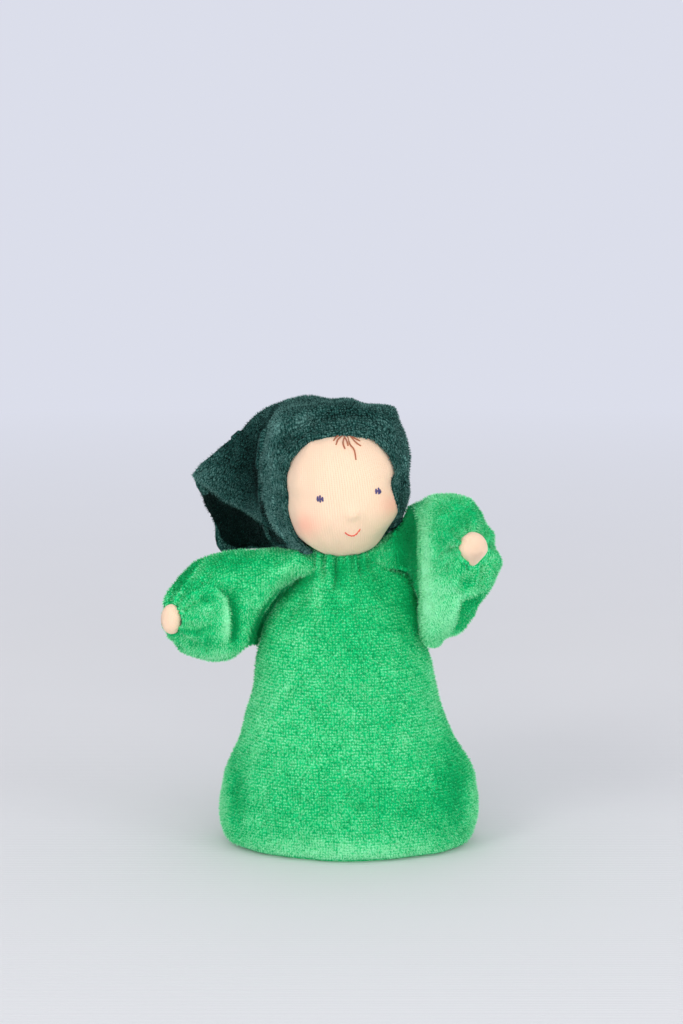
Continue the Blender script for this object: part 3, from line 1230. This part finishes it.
# Its lower end on each side turns in under the cheek.
to_end = np.minimum(arc_lengths(hood, 1), arc_lengths(hood[:, ::-1], 1)[:, ::-1])
end_turn, end_reach = 3.5 * mm, 4.5 * mm
turned_in = end_turn * (1 - ease(to_end, 0, end_reach)) * near_face
inward = np.array(head_centre) - hood
inward[..., 2] = 0
hood = hood + inward / np.linalg.norm(inward, axis=-1, keepdims=True) * turned_in[..., None]
hugging = np.maximum(tight, near_face * (1 - ease(to_end, 2 * mm, 5 * mm)))
hood = off_the_skin(hood, hood_clear, 0, hugging)

# The rolled front edge curls in on itself, and the back edges come together at the seam.
forward = hood[0] - hood[2]
forward /= np.linalg.norm(forward, axis=-1, keepdims=True)
outward = hood_normals[0]
roll_steps = 12
roll_size = hem_roll * (0.3 + 0.7 * ease(to_end[0], 0, 4 * mm))[:, None]
roll = [
    hood[0] + roll_size * (math.sin(a) * forward - (1 - math.cos(a)) * outward)
    for a in np.linspace(math.pi, 0, roll_steps)[:-1]
]
tuck_height = 0.25 * mm
tuck = [off_the_skin(roll[0] - forward * distance * mm, tuck_height, 1.0) for distance in (4, 3, 2, 1)]
smoothed_rows = 12
hood[-smoothed_rows:] = eased(hood[-2 * smoothed_rows :], 12)[-smoothed_rows:]
seam_middle = (hood[-1] + hood[-1][::-1]) / 2
seam_rise = 0.5 * mm
behind = hood[-1] - hood[-14]
behind *= seam_rise / np.linalg.norm(behind, axis=-1, keepdims=True)
sewn_up = [hood[-1] + (seam_middle - hood[-1]) * share + behind * share for share in (0.35, 0.7, 0.93)]
hood = np.concatenate([tuck, roll, hood, sewn_up])[:, ::-1]
hood_uv = cloth_uv(hood, hood_columns // 2)
dark_velour = velour(
    "dark velour", (0.0006, 0.006, 0.005, 1), (0.013, 0.07, 0.061, 1), (0.155, 0.335, 0.305, 1),
    (0.5, 1, 0.95, 1), 0.12
)
shown = slice(len(tuck) + 4, -1)
hood_cloth, hood_pile = velour_piece(
    "hood", hood, hood_uv, hood_thickness, dark_velour, hood_nap, hood_shades, shown
)
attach(hood_pile, "head")
fitted(hood_cloth, "head", "hood")

# The hood's threads: one row of small stitches in dark cotton that draws its back edges together, and the
# gathering thread that runs inside the rolled edge, drawn up round the face.
seam_ends = seam_middle[4:-4]
stitch_length = 1.6 * mm
seam_thread, gathering_thread = 0.3 * mm, 0.4 * mm
seam_run = np.concatenate([[0], np.cumsum(np.linalg.norm(np.diff(seam_ends, axis=0), axis=1))])
seam_lines = []
for start in np.arange(0, seam_run[seam_ends.shape[0] // 2], 2 * stitch_length):
    along = np.linspace(start, start + stitch_length, 4)
    seam_lines.append([[np.interp(a, seam_run, seam_ends[:, axis]) for axis in range(3)] for a in along])
dark_cotton = cotton("dark cotton", (0.012, 0.04, 0.036, 1), (0.004, 0.015, 0.013, 1))
back_seam = sewn("hood_seam_stitches", seam_lines, seam_thread, dark_cotton)
fitted(back_seam, "head", "hood_back_seam")

# The gathering thread lies in the middle of the roll, and ends short of the chin.
gathering = list((hood[4] + hood[10]) / 2)[12:-12]
hem_thread = sewn("hood_gathering_thread", [gathering], gathering_thread, dark_cotton, steps=400)
fitted(hem_thread, "head", "hood_hem_thread")

# The sleeves and hands: each sleeve is a pouch of green velour over a tuft of wool, sewn to the gown at the
# shoulder and gathered by a thread at the wrist, where the cloth tucks in round the hand. The hand is a small
# ball of wool in jersey, tied off at the wrist.
sleeve_length, sleeve_height, sleeve_depth = 38 * mm, 27 * mm, 20 * mm
sleeve_rows, sleeve_columns = 120, 160
wrist_radius = 2.6 * mm
# How far out from the shoulder the sleeve bends when the arm is raised, and how far down, as shares of its
# length and height
sleeve_shares = {
    # Along, forward, up, reach above, below in front, below behind and to each side, turn forward in
    # degrees, corner power
    "right": (
        (-0.08, 0, 0.02, 0.12, 0.14, 0.14, 0.25, 0, 2),
        (0.13, 0, 0.03, 0.15, 0.15, 0.45, 0.36, 0, 2),
        (0.34, 0, -0.1, 0.3, 0.31, 0.66, 0.43, 3, 2.1),
        (0.53, 0.03, -0.3, 0.49, 0.5, 0.54, 0.46, 10, 2.2),
        (0.71, 0.07, -0.385, 0.51, 0.49, 0.49, 0.5, 20, 2.2),
        (0.85, 0.12, -0.42, 0.42, 0.41, 0.41, 0.44, 32, 2.1),
        (0.92, 0.16, -0.43, 0.28, 0.28, 0.28, 0.31, 39, 2),
        (0.94, 0.18, -0.433, 0.17, 0.17, 0.17, 0.22, 40, 2),
    ),
    "left": (
        (-0.12, 0, -0.01, 0.28, 0.05, 0.07, 0.24, 10, 2),
        (0.07, 0.03, -0.025, 0.44, 0.05, 0.07, 0.22, 20, 2),
        (0.17, 0.08, -0.04, 0.6, 0.08, 0.12, 0.24, 30, 2),
        (0.265, 0.14, -0.037, 0.71, 0.7, 0.74, 0.33, 38, 2.1),
        (0.375, 0.27, 0.02, 0.735, 0.76, 0.76, 0.49, 46, 2.1),
        (0.475, 0.395, 0.1, 0.63, 0.58, 0.58, 0.51, 50, 2.1),
        (0.53, 0.48, 0.18, 0.44, 0.44, 0.44, 0.42, 52, 2.1),
        (0.55, 0.515, 0.23, 0.27, 0.27, 0.27, 0.31, 52, 2),
        (0.555, 0.53, 0.24, 0.17, 0.17, 0.17, 0.22, 52, 2),
    ),
}
# Pulls across the photograph, as on the gown
sleeve_moves = {
    "right": [
        ((170, 640), (168, 640), 12), ((162, 618), (168, 618), 13), ((302, 560), (300, 551), 14),
        ((254, 638), (258, 647), 9),
    ],
    "left": [
        ((491, 562), (501, 562), 22), ((478, 508), (476, 508), 10), ((470, 616), (473, 617), 10),
        ((452, 642), (445, 640), 9), ((408, 517), (402, 511), 11), ((396, 532), (388, 525), 10),
        ((410, 600), (416, 596), 12),
    ],
}
# Folds: a line in the photograph, how many pixels below it the cloth comes up again, the depth in
# millimetres, and whether the back of the sleeve goes with it
sleeve_folds = {
    "right": [
        ([(228, 646), (230.5, 630), (230.5, 614), (227, 598), (214, 584)], 10, 2.2),
        ([(246, 650), (249, 636), (254, 621), (262, 605), (275, 590), (292, 581)], 14, 3, True),
    ],
    "left": [
        ([(412, 498), (418, 521), (420, 545), (421, 574), (422, 600), (421, 624), (425, 646)], 18, 4, True),
        ([(449, 636), (456, 621), (459, 610), (461, 600), (476, 595), (492, 586)], 16, 3),
    ],
}
sleeve_creases = {
    "right": [
        ([(172, 598), (184, 584), (196, 568), (206, 558)], 3.5, 0.8),
        ([(180, 596), (192, 582), (206, 572)], 4, -0.5),
        ([(184, 612), (198, 613), (214, 617)], 3, 0.4), ([(182, 626), (198, 628), (214, 624)], 3, 0.35),
        ([(205, 640), (214, 646)], 6, 0.4), ([(196, 596), (208, 600), (218, 610)], 4, 0.4),
    ],
    "left": [
        ([(440, 500), (452, 516), (464, 530)], 6, 0.5), ([(436, 560), (446, 552), (458, 548)], 4, 0.4),
        ([(440, 584), (452, 578), (466, 572)], 4, 0.6), ([(484, 510), (486, 522), (484, 532)], 3, 0.5),
        ([(428, 530), (430, 560), (429, 600)], 5, -0.3), ([(495, 548), (490, 560), (486, 572)], 3, 0.5),
    ],
}
sleeve_nap = {
    "right": [
        (235, 562, 40, 11, -0.22), (290, 569, 20, 7, 0.2), (227, 622, 5, 22, 0.3), (236, 626, 5, 22, -0.3),
        (250, 602, 9, 18, 0.15), (215, 656, 36, 7, 0.2), (225, 590, 50, 34, -0.08), (208, 645, 6, 8, -0.3),
        (182, 582, 12, 16, -0.25), (258, 632, 8, 16, -0.6), (200, 612, 16, 12, 0.12), (205, 600, 8, 5, -0.2),
        (262, 585, 10, 10, 0.1),
    ],
    "left": [
        (404, 545, 13, 34, -0.5), (427, 560, 6, 70, 0.3), (446, 590, 26, 46, 0.15), (432, 496, 18, 7, 0.2),
        (458, 518, 16, 12, -0.2), (440, 542, 9, 8, -0.2), (454, 568, 14, 12, -0.15), (440, 615, 14, 24, 0.25),
        (476, 608, 13, 14, -0.2), (488, 560, 6, 18, 0.1), (478, 512, 8, 8, -0.2), (465, 583, 8, 6, -0.3),
        (470, 528, 8, 6, 0.15),
    ],
}
sleeve_shades = {
    "right": [
        (sleeve_folds["right"][0][0], 0.3, 7, -0.45, 7),
        ([(206, 556), (196, 568), (184, 584), (172, 600)], 0.28, 4, -0.35, 7),
        ([(176, 628), (198, 630), (216, 622)], 0.1, 4, -0.3, 4),
        (sleeve_folds["right"][1][0], 0.1, 4, -0.5, 12),
    ],
    "left": [
        (sleeve_folds["left"][0][0], 0.3, 7, -0.45, 16),
        (sleeve_folds["left"][1][0], 0.2, 7, -0.35, 14),
    ],
}
# The ring at which the sleeve's wool starts
wool_start = {"right": 46, "left": 44}
hand_pixels = {"right": (171.5, 619), "left": (473, 549)}
# Each hand's half width and half height
hand_sizes = {"right": (2.7 * mm, 3.9 * mm), "left": (3.7 * mm, 4.3 * mm)}
hand_rows, hand_columns = 44, 64
hand_thickness, hand_wool_inset = 0.4 * mm, 0.7 * mm
# The wrist's thread, and the row of the hand that it is tied round
wrist_thread, tie_row = 0.4 * mm, 5


def fold(points, normals, pixels, reach, depth, through=False):
    """Height where the cloth above a line laps over the cloth below it, which comes up again further on."""
    far, share = beside_line(points, pixels)
    side = 1 if through else facing(normals)
    return -depth * ease(far, -1, 1) * bell(np.maximum(far, 0), reach) * tapered(share) * side


def sleeve_ring(row, side, spots):
    """One ring of a sleeve about its shoulder."""
    along, forward, rise, above, below_front, below_behind, depth, turn, power = row
    turn = math.radians(turn)
    front = np.array((-side * math.sin(turn), -math.cos(turn), 0))
    across, lift = rounded(spots, power)
    middle = np.array((side * along * sleeve_length, -forward * sleeve_length, rise * sleeve_height))
    below = below_front + (below_behind - below_front) * ease(-across, -0.2, 0.6)
    height = lift * np.where(lift > 0, above, below) * sleeve_height
    return middle + across[:, None] * depth * sleeve_depth * front + height[:, None] * np.array((0, 0, 1))


for name, side in (("right", -1), ("left", 1)):
    arm = name + "_arm"
    shoulder = np.array(joints[name + "_arm_raise"]["pos_m"])
    table = rows_at(sleeve_shares[name], np.linspace(0, 1, sleeve_rows))
    spots = np.arange(sleeve_columns) / sleeve_columns * 2 * math.pi * -side
    sleeve = np.stack([sleeve_ring(row, side, spots) for row in table]) + shoulder
    sleeve = nudged(sleeve, sleeve_moves[name])
    turn = math.radians(table[-1][7])
    heading = np.array((side * math.cos(turn), -math.sin(turn), 0))
    wrist = sleeve[-1].mean(0)
    to_hand = slid(wrist, np.array(hand_pixels[name]) - in_photo(wrist)) - wrist
    hand_pull = 8 * mm
    sleeve = sleeve + to_hand * bell(np.linalg.norm(sleeve - wrist, axis=-1), hand_pull)[..., None]
    wrist = sleeve[-1].mean(0)
    # Near the neck it lies under the head and stays off it.
    from_head = sleeve - np.array(head_centre)
    head_reach = np.linalg.norm(from_head, axis=-1, keepdims=True)
    least, softness = head_radius + 0.5 * mm, 1 * mm
    kept_off = least + softness * np.logaddexp(0, (head_reach - least) / softness)
    sleeve = sleeve + from_head / head_reach * (kept_off - head_reach)
    # Its end turns in to the wrist.
    from_wrist = sleeve[-1] - wrist
    reach_out = np.linalg.norm(from_wrist, axis=-1, keepdims=True)
    from_wrist /= reach_out
    turned_in = []
    for share in (0.25, 0.5, 0.75, 1):
        round_wrist = from_wrist * (wrist_radius + (reach_out - wrist_radius) * (1 - share))
        turned_in.append(wrist + round_wrist + heading * (0.5 - 2.6 * share**2) * mm)
    sleeve = np.concatenate([sleeve, turned_in])
    normals = grid_normals(sleeve, True)
    out_of_wrist = np.linalg.norm(sleeve - wrist, axis=-1)
    angles_round = np.arange(sleeve_columns) / sleeve_columns * 2 * math.pi
    pleats = np.sin(9 * angles_round + 1.3 * np.sin(2 * angles_round + side))
    pleats = pleats + 0.5 * np.sin(14 * angles_round + 2)
    pleat_height, pleat_start, pleat_length = 0.5 * mm, 7 * mm, 4 * mm
    relief = pleat_height * pleats[None] * bell(out_of_wrist - pleat_start, pleat_length)
    broad_lumps = 0.4 * mm * lumps(sleeve, 13 * mm, seed=40 + side)
    relief += broad_lumps + 0.15 * mm * lumps(sleeve, 6 * mm, seed=44 + side)
    for pixels, width, depth in sleeve_creases[name]:
        relief += mm * crease(sleeve, normals, pixels, width, depth)
    sleeve = sleeve + normals * (relief - pile_depth)[..., None]
    plain_sleeve = sleeve
    push = sum(mm * fold(sleeve, normals, *given) for given in sleeve_folds[name])
    sleeve = sleeve + push[..., None] * np.array(towards_camera)
    closed = np.concatenate([sleeve, sleeve[:, :1]], 1)
    sleeve_uv = cloth_uv(closed, sleeve_columns // 4)
    shown = slice(2, sleeve_rows - 2)
    made, fibres = velour_piece(
        name + "_sleeve", sleeve, sleeve_uv, velour_thickness, green_velour, sleeve_nap[name],
        sleeve_shades[name], shown, looped=True
    )
    filled = plain_sleeve[wool_start[name] : sleeve_rows - 8]
    half_way = 0.45 * np.linalg.norm(filled - filled.mean(1, keepdims=True), axis=-1).min(1)
    wool_inset = velour_thickness + 2.5 * mm
    inset = np.minimum(wool_inset, half_way)[:, None, None]
    fill = stuffing(name + "_sleeve_stuffing", filled, inset, loose_wool)
    for piece in (made, fibres, fill):
        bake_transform(piece)
    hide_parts(name + "_sleeve")
    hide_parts(name + "_sleeve_wool")

    # The hand, from its tip to the wrist
    tip_angle, wrist_angle = 90, -60
    around = (np.arange(hand_columns) / hand_columns + 0.75) * 2 * math.pi
    profile = np.linspace(0, 1, hand_rows)
    hand_lift = np.radians(tip_angle + (wrist_angle - tip_angle) * profile)
    hand_wide, hand_high = hand_sizes[name]
    narrowing = np.interp(profile, (0, 0.8, 1), (1, 1, 0.7))
    up = np.array((0, 0, 1))
    sideways = np.cross(up, heading)
    hand_out, hand_forward = 0.4, 0.8
    middle = wrist + heading * hand_out * mm
    shift = np.array(hand_pixels[name]) - in_photo(middle)
    middle = slid(middle, shift) + hand_forward * mm * np.array(towards_camera)
    pleat = 1 + 0.05 * np.sin(9 * around)[None] * ease(profile, 0.5, 0.95)[:, None]
    ball = np.cos(hand_lift)[:, None] * narrowing[:, None] * pleat
    lengthwise = (hand_wide * np.sin(hand_lift))[:, None, None] * heading
    crosswise = (ball * hand_wide * np.cos(around))[..., None] * sideways
    hand = middle + lengthwise + (crosswise + (ball * hand_high * np.sin(around))[..., None] * up)
    if name == "left":
        lower_share = 0.45 * ease(middle[2] - hand[..., 2], 0, hand_high)
        hand[..., :2] += (middle - hand)[..., :2] * lower_share[..., None]
    hand = hand[::-1]
    closed = np.concatenate([hand, hand[:, :1]], 1)
    made = cloth(name + "_hand_jersey", hand, hand_thickness, cloth_uv(closed, 0), looped=True)
    made.data.materials.append(doll_jersey)
    fitted(made, arm, name + "_hand")
    ball = stuffing(name + "_hand_stuffing", hand[2:], hand_wool_inset, loose_wool)
    fitted(ball, arm, name + "_hand_wool")
    tied = sewn(name + "_wrist_tie", [list(closed[tie_row])], wrist_thread, white_cotton, steps=100)
    fitted(tied, arm, name + "_wrist_thread")

# The studio: a wide pale cloth on a table, which far off goes over into an even pale backdrop on every side.
# The camera sees that backdrop, while the doll is lit by soft daylight and three lamps.
floor_reach = 1.0
fade_start, fade_end = 0.25, 0.85
backdrop_colour = (0.71, 0.73, 0.828, 1)
corners = [(x * floor_reach, y * floor_reach, 0) for x, y in ((-1, -1), (1, -1), (1, 1), (-1, 1))]
floor = mesh_piece("floor", corners, [(0, 1, 2, 3)])
paper = Finish("pale paper", Roughness=0.9, **{"Specular IOR Level": 0.1})
weave_period = 1.5 * mm
spot = paper.node("ShaderNodeSeparateXYZ", {}, {0: paper.place()})
weave = (Sum(paper, spot.outputs[1]) * (2 * math.pi / weave_period)).wave()
cloudy = paper.noise(60 * mm, 2.0)
paper_shade, paper_light = (0.75, 0.76, 0.79, 1), (0.78, 0.79, 0.82, 1)
paper.colour(paper.mixed((weave * 0.25 + cloudy * 0.5 + 0.1).held(), paper_shade, paper_light))
paper.bump(weave, 0.05 * mm)


def seen_directly(light_path):
    """1 for what the camera sees, also in gloss and through clear things, and 0 for what lights the doll."""
    return [light_path.outputs[ray] for ray in ("Is Camera Ray", "Is Glossy Ray", "Is Transmission Ray")]


from_doll = paper.number("ShaderNodeVectorMath", {"operation": "LENGTH"}, {0: paper.place()}, 1)
far_off = ((from_doll - fade_start) / (fade_end - fade_start)).held()
rays = [Sum(paper, socket) for socket in seen_directly(paper.node("ShaderNodeLightPath", {}, {}))]
glow = paper.node("ShaderNodeEmission", {}, {"Color": backdrop_colour})
faded = {0: far_off * (rays[0] + rays[1] + rays[2]).held(), 1: paper.surface.outputs[0], 2: glow.outputs[0]}
both = paper.node("ShaderNodeMixShader", {}, faded)
paper.tree.links.new(both.outputs[0], paper.tree.nodes["Material Output"].inputs["Surface"])
floor.data.materials.append(paper.material)
floor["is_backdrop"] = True

world = bpy.data.worlds.new("soft daylight")
scene.world = world
world.use_nodes = True
nodes, links = world.node_tree.nodes, world.node_tree.links
daylight_colour, daylight_strength = (0.965, 0.965, 1, 1), 0.75
daylight, shown_light = nodes["Background"], nodes.new("ShaderNodeBackground")
daylight.inputs["Color"].default_value = daylight_colour
daylight.inputs["Strength"].default_value = daylight_strength
shown_light.inputs["Color"].default_value = backdrop_colour
camera_or_gloss, any_direct = nodes.new("ShaderNodeMath"), nodes.new("ShaderNodeMath")
chosen = nodes.new("ShaderNodeMixShader")
sockets = seen_directly(nodes.new("ShaderNodeLightPath"))
camera_or_gloss.operation = any_direct.operation = "MAXIMUM"
links.new(sockets[0], camera_or_gloss.inputs[0])
links.new(sockets[1], camera_or_gloss.inputs[1])
links.new(camera_or_gloss.outputs[0], any_direct.inputs[0])
links.new(sockets[2], any_direct.inputs[1])
links.new(any_direct.outputs[0], chosen.inputs[0])
links.new(daylight.outputs[0], chosen.inputs[1])
links.new(shown_light.outputs[0], chosen.inputs[2])
links.new(chosen.outputs[0], nodes["World Output"].inputs["Surface"])
lamp_aim = Vector((0, 0, 0.07))
# Each lamp's name, place, size, power and colour
for name, place, size, power, colour in (
    ("key_lamp", (-0.75, -0.85, 0.95), 0.5, 3.6, (1, 0.98, 0.95)),
    ("fill_lamp", (0.85, -0.7, 0.75), 0.6, 2, (0.96, 0.98, 1)),
    ("low_lamp", (0.1, -1.1, 0.05), 0.8, 8.8, (1, 0.97, 0.96)),
):
    lamp = bpy.data.lights.new(name, "AREA")
    lamp.energy, lamp.size, lamp.color = power, size, colour
    holder = bpy.data.objects.new(name, lamp)
    holder.location = place
    holder.rotation_euler = (Vector(place) - lamp_aim).to_track_quat("Z", "Y").to_euler()
    scene.collection.objects.link(holder)
    holder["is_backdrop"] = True

scene.view_settings.view_transform = "Standard"
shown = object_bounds()
